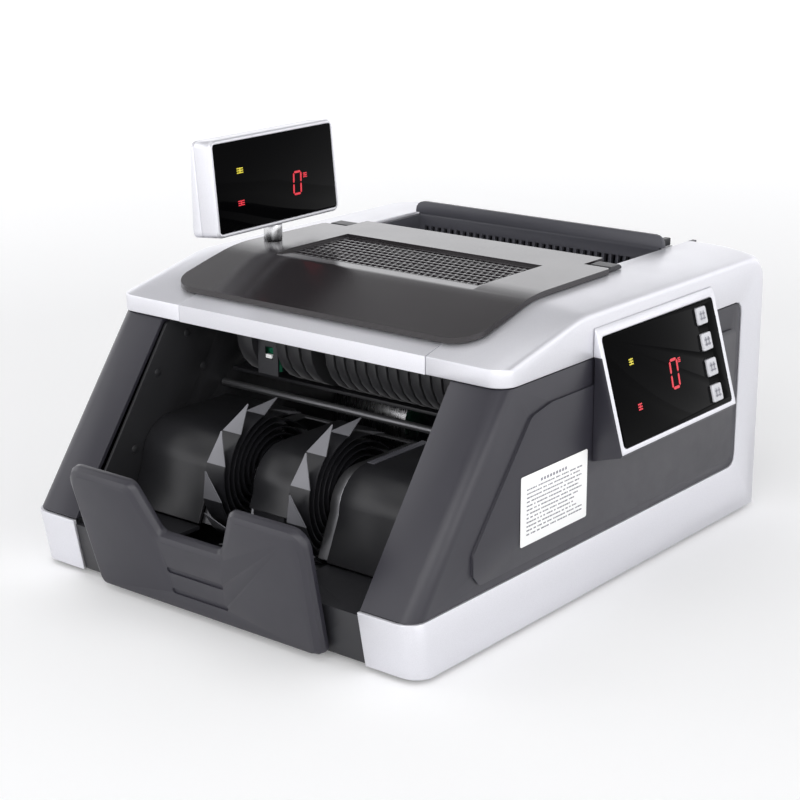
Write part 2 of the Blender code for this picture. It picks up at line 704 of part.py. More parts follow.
def make_motors(mats, frame):
    wall = -PLATE_X[0] + GAP
    motor = rod(MOTOR_AXIS, 24, wall, wall + 58, 24)
    node("main_motor", motor, mats["steel"], frame, smooth=True)
    small = rod(STACK_MOTOR_AXIS, 16, wall, wall + 36, 20)
    node("stacker_motor", small, mats["steel"], frame, smooth=True)
    drives = {"motor_pulley": (MOTOR_AXIS, MOTOR_PULLEY_R),
              "stacker_motor_pulley": (STACK_MOTOR_AXIS, STACK_MOTOR_PULLEY_R)}
    for name, (axis, radius) in drives.items():
        drive = rod(axis, radius, *PULLEY_X, 20)
        fused(drive, rod(axis, 3, PULLEY_X[1] - 1, wall - GAP, 12))
        node(name, drive, mats["steel"], frame, (0, *axis), True)
    drive_belt = belt(MOTOR_AXIS, MOTOR_PULLEY_R, DRUM_AXIS, DRUM_PULLEY_R)
    node("drive_belt", drive_belt, mats["rubber"], frame)
    stacker_belt = belt(STACK_MOTOR_AXIS, STACK_MOTOR_PULLEY_R, WHEEL_AXIS, WHEEL_PULLEY_R)
    node("stacker_belt", stacker_belt, mats["rubber"], frame)


# ---------------------------------------------------------------- stacker

def vane_point(start, share, side):
    """A point on one face of a spiral vane, which thins towards its tip."""
    radius = WHEEL_HUB_R + (WHEEL_R - WHEEL_HUB_R) * share
    angle = start + VANE_SWEEP * share ** 1.15
    radius += side * VANE_T / 2 * (1 - 0.7 * share)
    y = WHEEL_AXIS[0] - radius * math.cos(angle)
    z = WHEEL_AXIS[1] + radius * math.sin(angle)
    return (y, z)


def wheel_outline():
    """Trailing vanes on a round hub, as one outline: out along one face and back on the other."""
    steps = 9
    outline = []
    for k in range(VANES):
        start = 2 * math.pi * k / VANES
        for i in range(steps + 1):
            outline.append(vane_point(start, 0.02 + 0.98 * i / steps, 1))
        for i in range(steps - 1, -1, -1):
            outline.append(vane_point(start, 0.02 + 0.98 * i / steps, -1))
    return outline


def make_stacker(mats, frame):
    axis = (0, *WHEEL_AXIS)
    node("stacker_shaft", rod(WHEEL_AXIS, SHAFT_R, PULLEY_X[0] - 2, PLATE_X[1] + 3, 16),
         mats["steel"], frame, axis, True)
    for name, x in (("stacker_wheel_left", -WHEEL_X), ("stacker_wheel_right", WHEEL_X)):
        wheel = prism("x", x - WHEEL_W / 2, x + WHEEL_W / 2, wheel_outline())
        cut(wheel, rod(WHEEL_AXIS, SHAFT_R + GAP, x - 20, x + 20, 16))
        node(name, wheel, mats["rubber"], frame, (x, *WHEEL_AXIS))
    node("stacker_pulley", pulley(WHEEL_AXIS, WHEEL_PULLEY_R), mats["black"], frame, axis, True)
    make_fenders(mats, frame)


def fender_path(inset, end_z):
    """The curved front of the stacker, from its level top down towards the floor."""
    centre = (WHEEL_AXIS[0], FENDER_TOP - FENDER_R)
    nose = arc(centre, FENDER_R - inset, 90, 180, 7)
    slope = (46.0 - 36.0) / (FENDER_TOP - FENDER_R - FENDER_FOOT)
    foot = (nose[-1][0] - (nose[-1][1] - end_z) * slope, end_z)
    return [(116, FENDER_TOP - inset)] + nose + [foot]


def make_fenders(mats, frame):
    inner = PLATE_X[0] - GAP
    side = prism("x", SLOT_X[1], inner, thick_path(fender_path(0, FENDER_FOOT), -2.0))
    node("fender_left", mirrored(side), mats["graphite"], frame, smooth=True)
    node("fender_right", side, mats["graphite"], frame, smooth=True)
    middle = prism("x", -SLOT_X[0], SLOT_X[0], thick_path(fender_path(0, 44), -2.0))
    bracket = prism("x", -11, 11, [(41, 28.4), (60, 28.4), (60, 36), (50, 44.5), (42, 44.5)])
    node("fender_middle", fused(middle, bracket), mats["graphite"], frame, smooth=True)
    low, high = WHEEL_X + WHEEL_W / 2 + 1, SLOT_X[1] - GAP
    strip = thick_path(fender_path(2.6, FENDER_FOOT), -1.0)
    liner = prism("x", low, high, strip)
    bridge = box(-high, high, 114.5, 117.5, FENDER_TOP - 3.6, FENDER_TOP - 2.6)
    fused(liner, prism("x", -high, -low, strip), bridge)
    node("slot_liner", liner, mats["steel"], frame, smooth=True)


# ---------------------------------------------------------------- catch tray

def tray_outline(inset):
    """Two ears with a finger notch between them, drawn in by inset."""
    foot, top = TRAY_W[0] - inset, TRAY_W[1] - inset
    low, high = TRAY_Z[0] + inset / 4, TRAY_Z[1] - inset
    notch = 42.0 - inset
    right = [(foot, low, 3), (top, high, 9), (34 + inset, high, 6), (21 + inset, notch, 5)]
    left = [(-x, z, radius) for x, z, radius in right[::-1]]
    return rounded(right + left, 4)


def make_tray(mats, frame):
    pivot = axes("tray_axes", frame, (0, *TRAY_PIVOT), (TRAY_LEAN, 0, 0))
    face, back = TRAY_Y
    stations = ((face, TRAY_RIM), (face + 1.6, 1.2), (face + 4, 0), (back, 0))
    tray = loft([[(x, y, z) for x, z in tray_outline(inset)] for y, inset in stations])
    grooves = [prism("y", face - 3, face + 1, rectangle(-20, z, 20, z + 3.5, 1.5, 2))
               for z in (7, 20)]
    reach = LUG_R + GAP
    notch = rectangle(-reach, TRAY_Z[0] - 2, back + 2, reach)
    near, far = LUG_X[0] - GAP, LUG_X[1] + GAP
    notches = [prism("x", low, high, notch) for low, high in ((-far, -near), (near, far))]
    cut(tray, *grooves, *notches)
    fused(tray, rod((0, 0), TRAY_PIN_R, -LUG_X[1] - 4, LUG_X[1] + 4, 12))
    node("catch_tray", tray, mats["graphite"], pivot)


# ---------------------------------------------------------------- displays

def make_display(mats, frame):
    """The wedge on the right side: housing, window and four keys."""
    out, top = DISPLAY_TOP
    foot_x, foot_z = DISPLAY_FOOT
    wall = HALF_W + GAP
    face = PANEL_X + RAISED + GAP
    low = 74.0
    profile = [(wall, top + 3), (out, top + 2), (out + 1.2, top), (foot_x + 1.0, foot_z),
               (foot_x, foot_z - 1.6), (face, low), (face, LIP_Z - GAP), (wall, LIP_Z - GAP)]
    housing = prism("y", *DISPLAY_Y, profile)
    tilt = math.atan2(foot_x - out, top - foot_z)
    height = math.hypot(foot_x - out, top - foot_z)
    centre = ((out + foot_x) / 2 + 0.95, sum(DISPLAY_Y) / 2, (top + foot_z) / 2 + 0.3)
    turn = Matrix.Translation(Vector(centre)) @ Matrix.Rotation(-tilt, 4, "Y")
    half_w = (DISPLAY_Y[1] - DISPLAY_Y[0]) / 2 - BEZEL[0]
    half_h = height / 2 - BEZEL[1]
    pocket = prism("x", -1.6, 5, rectangle(-half_w, -half_h, half_w, half_h, 2.5))
    key_y = half_w - 15.4
    key_z = [(1.5 - k) * KEY_PITCH for k in range(4)]
    wells = [prism("x", -KEY_DEPTH - 1, 5, square(key_y, z, KEY / 2 + 0.5)) for z in key_z]
    for cutter in [pocket] + wells:
        cutter.data.transform(turn)
        cut(housing, cutter)
    node("display_housing", housing, mats["silver"], frame)

    face_axes = axes("display_axes", frame, centre, (0, -tilt, 0))
    clear = GAP + 0.1
    pane = rectangle(clear - half_w, clear - half_h, half_w - clear, half_h - clear, 2.2)
    window = prism("x", -1.2, 0.2, pane)
    for z in key_z:
        cut(window, prism("x", -3, 3, square(key_y, z, KEY / 2 + 0.4)))
    node("display_window", window, mats["glass"], face_axes)
    for k, z in enumerate(key_z):
        key = prism("x", -KEY_DEPTH, KEY_RISE, square(key_y, z, KEY / 2, 0.8))
        node(f"key_{k + 1}", key, mats["key"], face_axes, (0, key_y, z))


def remote_outline(inset, radius=4.0):
    """The face of the remote display, which stands a little to one side of its post."""
    half_w, half_h = REMOTE_W / 2 - inset, REMOTE_H / 2 - inset
    return rectangle(-half_w - REMOTE_SHIFT, -half_h, half_w - REMOTE_SHIFT, half_h, radius, 4)


def make_remote_display(mats, frame):
    """A two-part housing on the post, with its window towards the customer."""
    turn = (0, -REMOTE_TILT, REMOTE_YAW)
    head = axes("remote_display_axes", frame, (*POST_XY, REMOTE_Z), turn)
    seam, face = REMOTE_X
    wall = 3.0
    chamfer = 1.2
    window_inset = 2.0
    window_t = 0.9

    outlines = ((seam, 0.0), (face - chamfer, 0.0), (face, 0.8))
    front = loft([[(x, *point) for point in remote_outline(inset)] for x, inset in outlines])
    recess = prism("x", face - window_t - 0.5, face + 3, remote_outline(window_inset, 2))
    cut(front, recess, prism("x", seam - 3, face - 3.5, remote_outline(wall, 0)))
    node("remote_display_front", front, mats["silver"], head)

    foot, top = REMOTE_BACK
    rear = []
    for y, z in remote_outline(1.5):
        share = z / REMOTE_H + 0.5
        rear.append((foot + (top - foot) * share, y, z))
    edge = [(x + 1.2, *point) for (x, _, _), point in zip(rear, remote_outline(0.0))]
    joint = [(seam - GAP, *point) for point in remote_outline(0.0)]
    back = loft([rear, edge, joint])
    cut(back, prism("x", top + 1.4, seam + 1, remote_outline(wall, 0)))
    node("remote_display_back", back, mats["silver"], head)

    pane = remote_outline(window_inset + GAP, 1.8)
    window = prism("x", face - window_t - 0.2, face - 0.2, pane)
    node("remote_display_window", window, mats["glass"], head)


def make_label(mats, frame):
    face = PANEL_X + RAISED + GAP
    label = prism("x", face, face + 0.3, rectangle(79.5, 45.3, 138.8, 82.5, 1))
    node("label", label, mats["paper"], frame)


def clear_scene():
    for obj in list(bpy.data.objects):
        bpy.data.objects.remove(obj)


def main():
    clear_scene()
    mats = make_materials()
    frame = axes("machine_axes", None, (-BOX_MIDDLE[0], -BOX_MIDDLE[1], FEET_H))
    make_body(mats, frame)
    make_base(mats, frame)
    make_rear(mats, frame)
    make_chassis(mats, frame)
    make_lid(mats, frame)
    make_hopper(mats, frame)
    make_transport(mats, frame)
    make_motors(mats, frame)
    make_stacker(mats, frame)
    make_tray(mats, frame)
    make_display(mats, frame)
    make_remote_display(mats, frame)
    make_label(mats, frame)


main()
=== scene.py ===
"""The looks of the banknote counting machine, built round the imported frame.

Pieces are drawn in millimetres in the machine's own axes: X to the right as seen from the
stacker, Y from the front to the back, Z up, with zero at the middle of the base's front edge.
MACHINE turns such a drawing into the frame's metres.
"""
import json
import math
import random

import bmesh
import bpy
from mathutils import Matrix, Vector


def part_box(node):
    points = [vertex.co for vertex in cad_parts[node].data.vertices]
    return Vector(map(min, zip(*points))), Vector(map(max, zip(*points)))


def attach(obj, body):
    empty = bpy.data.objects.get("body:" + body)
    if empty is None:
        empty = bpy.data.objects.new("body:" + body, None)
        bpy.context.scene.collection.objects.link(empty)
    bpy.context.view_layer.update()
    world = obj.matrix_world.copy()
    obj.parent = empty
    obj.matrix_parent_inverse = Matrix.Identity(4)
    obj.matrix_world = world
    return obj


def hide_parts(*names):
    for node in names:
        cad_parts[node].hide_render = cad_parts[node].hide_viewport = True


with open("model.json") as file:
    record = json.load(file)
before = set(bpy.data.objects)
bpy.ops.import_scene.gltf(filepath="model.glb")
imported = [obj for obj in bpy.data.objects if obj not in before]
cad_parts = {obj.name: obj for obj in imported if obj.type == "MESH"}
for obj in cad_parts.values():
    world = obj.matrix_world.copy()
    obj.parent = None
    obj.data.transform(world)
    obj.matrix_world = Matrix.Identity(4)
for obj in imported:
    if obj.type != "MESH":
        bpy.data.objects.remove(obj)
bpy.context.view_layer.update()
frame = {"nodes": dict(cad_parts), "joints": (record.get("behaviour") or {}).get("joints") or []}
NODES = frame["nodes"]
JOINTS = {joint["name"]: joint for joint in frame["joints"]}

MM = 0.001
DEPTH = 326.0               # front edge of the base to the rear face
LIP_Z = 130.0               # underside of the silver top band


# ---------------------------------------------------------------- the machine's axes

def machine_zero():
    """The middle of the base's front edge, under the shells, in the frame's metres."""
    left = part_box("left_shell")[0]
    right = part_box("right_shell")[1]
    return Vector(((left.x + right.x) / 2, right.y - DEPTH * MM, left.z))


ZERO = machine_zero()
MACHINE = Matrix.Translation(ZERO) @ Matrix.Scale(MM, 4)


def drawn(point):
    """A point of the frame, in metres, as millimetres in the machine's axes."""
    return (Vector(point) - ZERO) / MM


# ---------------------------------------------------------------- materials

class Nodes:
    """A material's node tree, with the Principled shader that it ends in."""

    def __init__(self, name):
        self.mat = bpy.data.materials.new(name)
        self.mat.use_nodes = True
        self.tree = self.mat.node_tree
        self.shader = self.tree.nodes["Principled BSDF"]
        self.place = self.add("ShaderNodeTexCoord").outputs["Object"]

    def add(self, kind, **values):
        """A node with its input sockets set by name; spaces in names are written as _."""
        node = self.tree.nodes.new(kind)
        for key, value in values.items():
            node.inputs[key.replace("_", " ")].default_value = value
        return node

    def link(self, output, socket):
        self.tree.links.new(output, socket)

    def drive(self, **outputs):
        """Links outputs to the shader's sockets of the same names."""
        for key, output in outputs.items():
            self.link(output, self.shader.inputs[key.replace("_", " ")])

    def set(self, **values):
        for key, value in values.items():
            self.shader.inputs[key.replace("_", " ")].default_value = value

    def noise(self, size_mm, detail=2.0, rough=0.5):
        node = self.add("ShaderNodeTexNoise", Scale=1 / (size_mm * MM), Detail=detail,
                        Roughness=rough)
        self.link(self.place, node.inputs["Vector"])
        return node.outputs["Fac"]

    def cells(self, size_mm, feature="F1"):
        node = self.add("ShaderNodeTexVoronoi", Scale=1 / (size_mm * MM))
        node.feature = feature
        self.link(self.place, node.inputs["Vector"])
        return node.outputs["Distance"]

    def ranged(self, value, low, high, start=0.3, end=0.7):
        """Maps value from start..end to low..high."""
        node = self.add("ShaderNodeMapRange", From_Min=start, From_Max=end, To_Min=low,
                        To_Max=high)
        self.link(value, node.inputs["Value"])
        return node.outputs["Result"]

    def mixed(self, factor, dark, light):
        node = self.tree.nodes.new("ShaderNodeMix")
        node.data_type = "RGBA"
        colours = [socket for socket in node.inputs if socket.type == "RGBA"]
        colours[0].default_value = (*dark, 1)
        colours[1].default_value = (*light, 1)
        self.link(factor, node.inputs["Factor"])
        return [socket for socket in node.outputs if socket.type == "RGBA"][0]

    def bump(self, height, depth_mm, strength=1.0, under=None):
        node = self.add("ShaderNodeBump", Strength=strength, Distance=depth_mm * MM)
        self.link(height, node.inputs["Height"])
        if under is not None:
            self.link(under, node.inputs["Normal"])
        return node.outputs["Normal"]


def scaled(colour, share):
    return tuple(min(1.0, channel * share) for channel in colour)


def moulded(name, colour, roughness, grain=0.5, depth=0.02, spread=0.05, tone=0.04):
    """Moulded plastic: fine spark-eroded grain, cloudy roughness and a slight change of tone."""
    n = Nodes(name)
    cloud = n.ranged(n.noise(40, 2), 0, 1)
    smudge = n.noise(11, 3, 0.6)
    waves = n.bump(n.noise(18, 1), 0.01, 0.12)
    n.drive(Base_Color=n.mixed(cloud, scaled(colour, 1 - tone), scaled(colour, 1 + tone)),
            Roughness=n.ranged(smudge, roughness - spread / 2, roughness + spread / 2),
            Normal=n.bump(n.noise(grain, 2, 0.6), depth, 0.5, waves))
    return n


def silver_paint():
    """Satin metallic paint: flakes under a thin clear layer with a little orange peel."""
    n = Nodes("silver_paint")
    base = (0.71, 0.71, 0.75)
    flakes = n.ranged(n.cells(0.35), 0.0, 1.0, 0.0, 0.7)
    peel = n.bump(n.noise(2.2, 1), 0.008, 0.15)
    n.drive(Base_Color=n.mixed(flakes, scaled(base, 1.04), scaled(base, 0.95)),
            Roughness=n.ranged(n.noise(14, 3), 0.35, 0.40),
            Normal=n.bump(n.noise(0.3, 1), 0.005, 0.25, peel))
    n.set(Metallic=0.5, Coat_Weight=0.2, Coat_Roughness=0.3)
    return n.mat


def graphite_plastic():
    return moulded("graphite_plastic", (0.024, 0.023, 0.031), 0.40, 0.45, 0.015).mat


def black_plastic():
    return moulded("black_plastic", (0.018, 0.018, 0.021), 0.42, 0.5, 0.02).mat


def lid_plastic():
    """Half-gloss black, with the long soft streaks that wiping leaves."""
    n = Nodes("lid_plastic")
    base = (0.026, 0.023, 0.025)
    n.drive(Base_Color=n.mixed(n.ranged(n.noise(60, 1), 0, 1), scaled(base, 0.96),
                               scaled(base, 1.04)),
            Roughness=n.ranged(n.noise(35, 2), 0.19, 0.22),
            Normal=n.bump(n.noise(0.5, 1), 0.003, 0.15))
    return n.mat


def guide_plastic():
    return moulded("guide_plastic", (0.060, 0.060, 0.072), 0.46, 0.5, 0.015).mat


def cavity_plastic():
    return moulded("cavity_plastic", (0.014, 0.014, 0.016), 0.38, 0.5, 0.015).mat


def key_plastic():
    return moulded("key_plastic", (0.55, 0.55, 0.58), 0.4, 0.4, 0.01, 0.05, 0.02).mat


def display_acrylic():
    """Dark tinted window: polished, with the faintest ripple."""
    n = Nodes("display_acrylic")
    n.drive(Base_Color=n.mixed(n.noise(30, 1), (0.0008, 0.0008, 0.001), (0.0014, 0.0014, 0.0016)),
            Roughness=n.ranged(n.noise(12, 3), 0.03, 0.06),
            Normal=n.bump(n.noise(25, 1), 0.004, 0.05))
    n.set(IOR=1.45, Specular_IOR_Level=0.02)
    return n.mat


def ground_steel():
    """Bright steel with grinding lines round the shafts."""
    n = Nodes("ground_steel")
    stretch = n.add("ShaderNodeMapping")
    stretch.inputs["Scale"].default_value = (40, 1, 1)
    n.link(n.place, stretch.inputs["Vector"])
    lines = n.add("ShaderNodeTexNoise", Scale=60.0, Detail=4.0)
    n.link(stretch.outputs["Vector"], lines.inputs["Vector"])
    streak = lines.outputs["Fac"]
    n.drive(Base_Color=n.mixed(streak, (0.46, 0.46, 0.47), (0.70, 0.70, 0.71)),
            Roughness=n.ranged(streak, 0.2, 0.32), Normal=n.bump(streak, 0.008, 0.25))
    n.set(Metallic=1.0)
    return n.mat


def coated_steel():
    n = moulded("coated_steel", (0.020, 0.020, 0.022), 0.45, 1.1, 0.02)
    n.set(Metallic=0.1)
    return n.mat


def rubber():
    n = moulded("rubber", (0.020, 0.020, 0.022), 0.5, 0.7, 0.03, 0.1, 0.1)
    n.set(Sheen_Weight=0.1, Sheen_Roughness=0.4)
    return n.mat


def vane_rubber():
    return moulded("vane_rubber", (0.012, 0.012, 0.014), 0.34, 1.4, 0.02, 0.08, 0.1).mat


def painted_highlight_vane():
    """The tips of the vanes in a lighter grey: a painted highlight where light catches their
    faces.
    """
    return moulded("painted_highlight_vane", (0.17, 0.17, 0.185), 0.4, 0.9, 0.02, 0.1, 0.25).mat


def dull_steel():
    n = moulded("dull_steel", (0.20, 0.20, 0.21), 0.42, 1.2, 0.01, 0.08, 0.1)
    n.set(Metallic=0.9)
    return n.mat


def label_film():
    return moulded("label_film", (0.88, 0.88, 0.87), 0.42, 0.8, 0.004, 0.06, 0.01).mat


def printed_ink():
    return moulded("printed_ink", (0.20, 0.20, 0.23), 0.5, 0.3, 0.004, 0.05, 0.3).mat


def glowing(name, colour, strength):
    """A lit segment behind the window: brightest in the middle of its cells."""
    n = Nodes(name)
    cells = n.ranged(n.cells(1.2), 1.0, 0.75, 0.0, 0.7)
    n.drive(Emission_Color=n.mixed(cells, scaled(colour, 0.7), colour))
    n.set(Base_Color=(*scaled(colour, 0.2), 1), Emission_Strength=strength, Roughness=0.3)
    return n.mat


def shade_black():
    """The unlit depth behind the vents."""
    n = moulded("shade_black", (0.004, 0.004, 0.005), 0.8, 1.2, 0.01)
    n.set(Specular_IOR_Level=0.1)
    return n.mat


def circuit_board():
    """Green solder mask with the faint relief of its tracks."""
    n = Nodes("circuit_board")
    tracks = n.cells(2.2, "DISTANCE_TO_EDGE")
    shade = n.ranged(tracks, 0, 1, 0.02, 0.08)
    n.drive(Base_Color=n.mixed(shade, (0.03, 0.26, 0.14), (0.012, 0.14, 0.07)),
            Roughness=n.ranged(n.noise(3, 2), 0.25, 0.4), Normal=n.bump(tracks, 0.05, 0.4))
    return n.mat


MATS = {
    "silver": silver_paint(),
    "graphite": graphite_plastic(),
    "black": black_plastic(),
    "lid": lid_plastic(),
    "guide": guide_plastic(),
    "cavity": cavity_plastic(),
    "key": key_plastic(),
    "glass": display_acrylic(),
    "steel": ground_steel(),
    "chassis": coated_steel(),
    "rubber": rubber(),
    "vane": vane_rubber(),
    # The vanes' tips in a lighter grey, a painted highlight
    "vane_highlight": painted_highlight_vane(),
    "dull": dull_steel(),
    "label": label_film(),
    "ink": printed_ink(),
    "board": circuit_board(),
    "shade": shade_black(),
    "red": glowing("red_segment", (1.0, 0.01, 0.04), 0.6),
    "yellow": glowing("yellow_segment", (0.85, 0.72, 0.03), 0.7),
}


# ---------------------------------------------------------------- CAD nodes

NODE_MATERIALS = {
    "silver": ["left_shell", "right_shell", "front_cover", "remote_display_front",
               "remote_display_back"],
    "graphite": ["left_side_panel", "right_side_panel", "rear_cover", "catch_tray"],
    "cavity": ["fender_left", "fender_right", "fender_middle", "note_guide"],
    "black": ["base_pan", "power_inlet", "power_switch", "thickness_knob",
              "transport_pulley", "feed_pulley", "stacker_pulley"],
    "guide": ["hopper"],
    "key": ["key_1", "key_2", "key_3", "key_4"],
    "glass": ["display_window", "remote_display_window"],
    "steel": ["lid_pin_left", "lid_pin_right", "display_post", "main_motor", "stacker_motor",
              "motor_pulley", "stacker_motor_pulley"],
    "dull": ["cross_rod", "transport_shaft", "feed_shaft", "stacker_shaft", "slot_liner"],
    "chassis": ["chassis_plate_left", "chassis_plate_right"],
    "rubber": ["foot_front_left", "foot_front_right", "foot_rear_left", "foot_rear_right",
               "transport_drum_left", "transport_drum_right", "pinch_roller", "feed_roller",
               "retard_roller", "drive_belt", "stacker_belt", "feed_belt"],
    "label": ["label"],
    "board": ["sensor_board", "main_board"],
}

# How far the edges of a node are rounded, in millimetres, where it isn't 0.35
EDGE_WIDTHS = {
    "left_shell": 0.5, "right_shell": 0.5, "front_cover": 0.5,
    "left_side_panel": 0.8, "right_side_panel": 0.8, "catch_tray": 1.3, "hopper": 0.5,
    "fender_left": 0.4, "fender_right": 0.4, "fender_middle": 0.4, "key_1": 0.5, "key_2": 0.5,
    "key_3": 0.5, "key_4": 0.5, "display_window": 0.1, "remote_display_window": 0.1,
    "label": 0.05, "chassis_plate_left": 0.3, "chassis_plate_right": 0.3,
    "remote_display_front": 0.5, "remote_display_back": 0.6, "transport_drum_right": 0.4,
    "transport_drum_left": 0.4, "slot_liner": 0.15,
}

# Flat plates with many openings, whose edges stay sharp
PLAIN_NODES = ("rear_cover",)

EDGE_ANGLE = 25             # degrees; edges that turn more than this are rounded
FLAT_ANGLE = 0.6            # degrees; faces that turn less than this are one face
WELD_GAP = 0.002


def dress(obj, key):
    obj.data.materials.clear()
    obj.data.materials.append(MATS[key])


def rounded_edges(obj, width_mm):
    bevel = obj.modifiers.new("rounded_edges", "BEVEL")
    bevel.width = width_mm * MM
    bevel.segments = 2
    bevel.limit_method = "ANGLE"
    bevel.angle_limit = math.radians(EDGE_ANGLE)
    bevel.harden_normals = True
    bevel.miter_outer = "MITER_ARC"


def polish(name):
    """Joins and rounds a CAD node's faces by modifiers, which leave its mesh as it is."""
    node = NODES[name]
    mesh = node.data
    mesh.normals_split_custom_set([(0, 0, 0)] * len(mesh.loops))
    if name in PLAIN_NODES:
        mesh.shade_flat()
        return
    mesh.shade_smooth()
    weld = node.modifiers.new("weld", "WELD")
    weld.merge_threshold = WELD_GAP * MM
    flat = node.modifiers.new("flat_faces", "DECIMATE")
    flat.decimate_type = "DISSOLVE"
    flat.angle_limit = math.radians(FLAT_ANGLE)
    rounded_edges(node, EDGE_WIDTHS.get(name, 0.35))


def dress_nodes():
    for key, names in NODE_MATERIALS.items():
        for name in names:
            dress(NODES[name], key)
            polish(name)


# ---------------------------------------------------------------- mesh tools

def finished(name, bm, keys, body, edge=0.0, place=MACHINE, angle=35):
    """A piece from a bmesh in millimetres, placed in the frame, that rides on a body."""
    bmesh.ops.remove_doubles(bm, verts=bm.verts, dist=0.0005)
    bmesh.ops.recalc_face_normals(bm, faces=bm.faces)
    bmesh.ops.transform(bm, matrix=place, verts=bm.verts)
    keys = (keys,) if isinstance(keys, str) else keys
    mesh = bpy.data.meshes.new(name)
    for key in keys:
        mesh.materials.append(MATS[key])
    bm.to_mesh(mesh)
    bm.free()
    obj = bpy.data.objects.new(name, mesh)
    bpy.context.scene.collection.objects.link(obj)
    mesh.shade_smooth()
    if edge:
        rounded_edges(obj, edge)
    else:
        mesh.set_sharp_from_angle(angle=math.radians(angle))
    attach(obj, body)
    return obj


def spot(axis, height, point):
    """The 3-D point of an outline point: (y, z) along X, (x, z) along Y, (x, y) along Z."""
    u, v = point
    return {"x": (height, u, v), "y": (u, height, v), "z": (u, v, height)}[axis]


def arc(centre, radius, start, end, steps):
    points = []
    for i in range(steps + 1):
        a = math.radians(start + (end - start) * i / steps)
        points.append((centre[0] + radius * math.cos(a), centre[1] + radius * math.sin(a)))
    return points


def rectangle(u0, v0, u1, v1):
    return [(u0, v0), (u1, v0), (u1, v1), (u0, v1)]


def add_prism(bm, axis, low, high, outline):
    """Adds a closed prism with the outline as its ends."""
    near, far = [[bm.verts.new(spot(axis, height, point)) for point in outline]
                 for height in (low, high)]
    bm.faces.new(near)
    bm.faces.new(far)
    for i in range(len(outline)):
        j = (i + 1) % len(outline)
        bm.faces.new((near[i], near[j], far[j], far[i]))


def add_box(bm, x0, x1, y0, y1, z0, z1):
    add_prism(bm, "z", z0, z1, rectangle(x0, y0, x1, y1))


def add_ring(bm, axis, low, high, outer, inner):
    """Adds a flat frame between two outlines with the same number of points."""
    loops = [[bm.verts.new(spot(axis, height, point)) for point in outline]
             for height, outline in ((low, outer), (high, outer), (high, inner), (low, inner))]
    for near, far in zip(loops, loops[1:] + loops[:1]):
        for i in range(len(near)):
            j = (i + 1) % len(near)
            bm.faces.new((near[i], near[j], far[j], far[i]))


def add_turned(bm, centre, profile, axis="x", steps=32):
    """Adds a solid of revolution: profile is a closed outline of (place along, radius)."""
    rings = []
    for k in range(steps):
        a = 2 * math.pi * k / steps
        rings.append([bm.verts.new(spot(axis, along, (centre[0] + radius * math.cos(a),
                                                      centre[1] + radius * math.sin(a))))
                      for along, radius in profile])
    for k in range(steps):
        near, far = rings[k], rings[(k + 1) % steps]
        for i in range(len(profile)):
            j = (i + 1) % len(profile)
            bm.faces.new((near[i], near[j], far[j], far[i]))


def copied(name):
    """A welded copy of a CAD node's mesh, in millimetres in the machine's axes."""
    bm = bmesh.new()
    bm.from_mesh(NODES[name].data)
    bmesh.ops.transform(bm, matrix=MACHINE.inverted(), verts=bm.verts)
    bmesh.ops.remove_doubles(bm, verts=bm.verts, dist=WELD_GAP)
    bmesh.ops.dissolve_limit(bm, angle_limit=math.radians(FLAT_ANGLE), verts=bm.verts,
                             edges=bm.edges)
    return bm


# ---------------------------------------------------------------- stacker wheels

WHEEL_AXIS = drawn(JOINTS["stacker_spin"]["pos_m"]).yz
WHEEL_HUB_R = 13.0
WHEEL_SWEEP = math.radians(170)
VANES = 12
LEAF_START = 0.74           # share of a vane where its straight leaf begins
LEAF_R = 37.0               # radius there
LEAF_LENGTH = 22.0
LEAF_RISE = 0.08            # how much the leaf points outwards


def vane_place(start, share):
    """A place (y, z) along a vane: a spiral from the hub, then straight to the tip."""
    curl = min(share / LEAF_START, 1.0)
    radius = WHEEL_HUB_R + (LEAF_R - WHEEL_HUB_R) * curl
    angle = start + WHEEL_SWEEP * curl ** 1.15
    leaf = max(0.0, share - LEAF_START) / (1 - LEAF_START) * LEAF_LENGTH
    radius += leaf * LEAF_RISE
    return (WHEEL_AXIS[0] - radius * math.cos(angle) + leaf * math.sin(angle),
            WHEEL_AXIS[1] + radius * math.sin(angle) + leaf * math.cos(angle))


def add_vane(bm, middle, start):
    """A thin strip on edge along the spiral, with a leaf-shaped tip."""
    steps = 23
    half = 6.8
    rows = []
    for i in range(steps + 1):
        share = 0.01 + 0.99 * i / steps
        leaf = min(1.0, (1 - share) / 0.22)
        reach = half * max(0.05, leaf)
        thick = 1.0 - 0.55 * share
        y, z = vane_place(start, share)
        ahead = vane_place(start, share + 0.01)
        along = Vector((ahead[0] - y, ahead[1] - z)).normalized()
        side = Vector((along.y, -along.x)) * thick / 2
        row = []
        for across, face in ((-1, -1), (0, -1), (1, -1), (1, 1), (0, 1), (-1, 1)):
            row.append(bm.verts.new((middle + across * reach, y + side.x * face,
                                     z + side.y * face)))
        rows.append(row)
    for k, (near, far) in enumerate(zip(rows, rows[1:])):
        for i in range(6):
            j = (i + 1) % 6
            face = bm.faces.new((near[i], near[j], far[j], far[i]))
            # Faces past the start of the leaf take the lighter grey: a painted highlight on the
            # tips.
            face.material_index = 1 if k > steps * LEAF_START else 0
    bm.faces.new(rows[0])
    bm.faces.new(rows[-1])


def make_wheels():
    for side in ("left", "right"):
        low, high = (drawn(corner).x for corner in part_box(f"stacker_wheel_{side}"))
        middle = (low + high) / 2
        bm = bmesh.new()
        bore = 4.3
        add_turned(bm, WHEEL_AXIS, [(low, bore), (high, bore), (high, 9.0), (high - 1.2, 10.0),
                                    (high - 1.2, WHEEL_HUB_R), (low + 1.2, WHEEL_HUB_R),
                                    (low + 1.2, 10.0), (low, 9.0)])
        for k in range(VANES):
            add_vane(bm, middle, 2 * math.pi * k / VANES)
        wheel = finished(f"vaned_wheel_{side}", bm, ("vane", "vane_highlight"), "stacker")
        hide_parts(f"stacker_wheel_{side}")


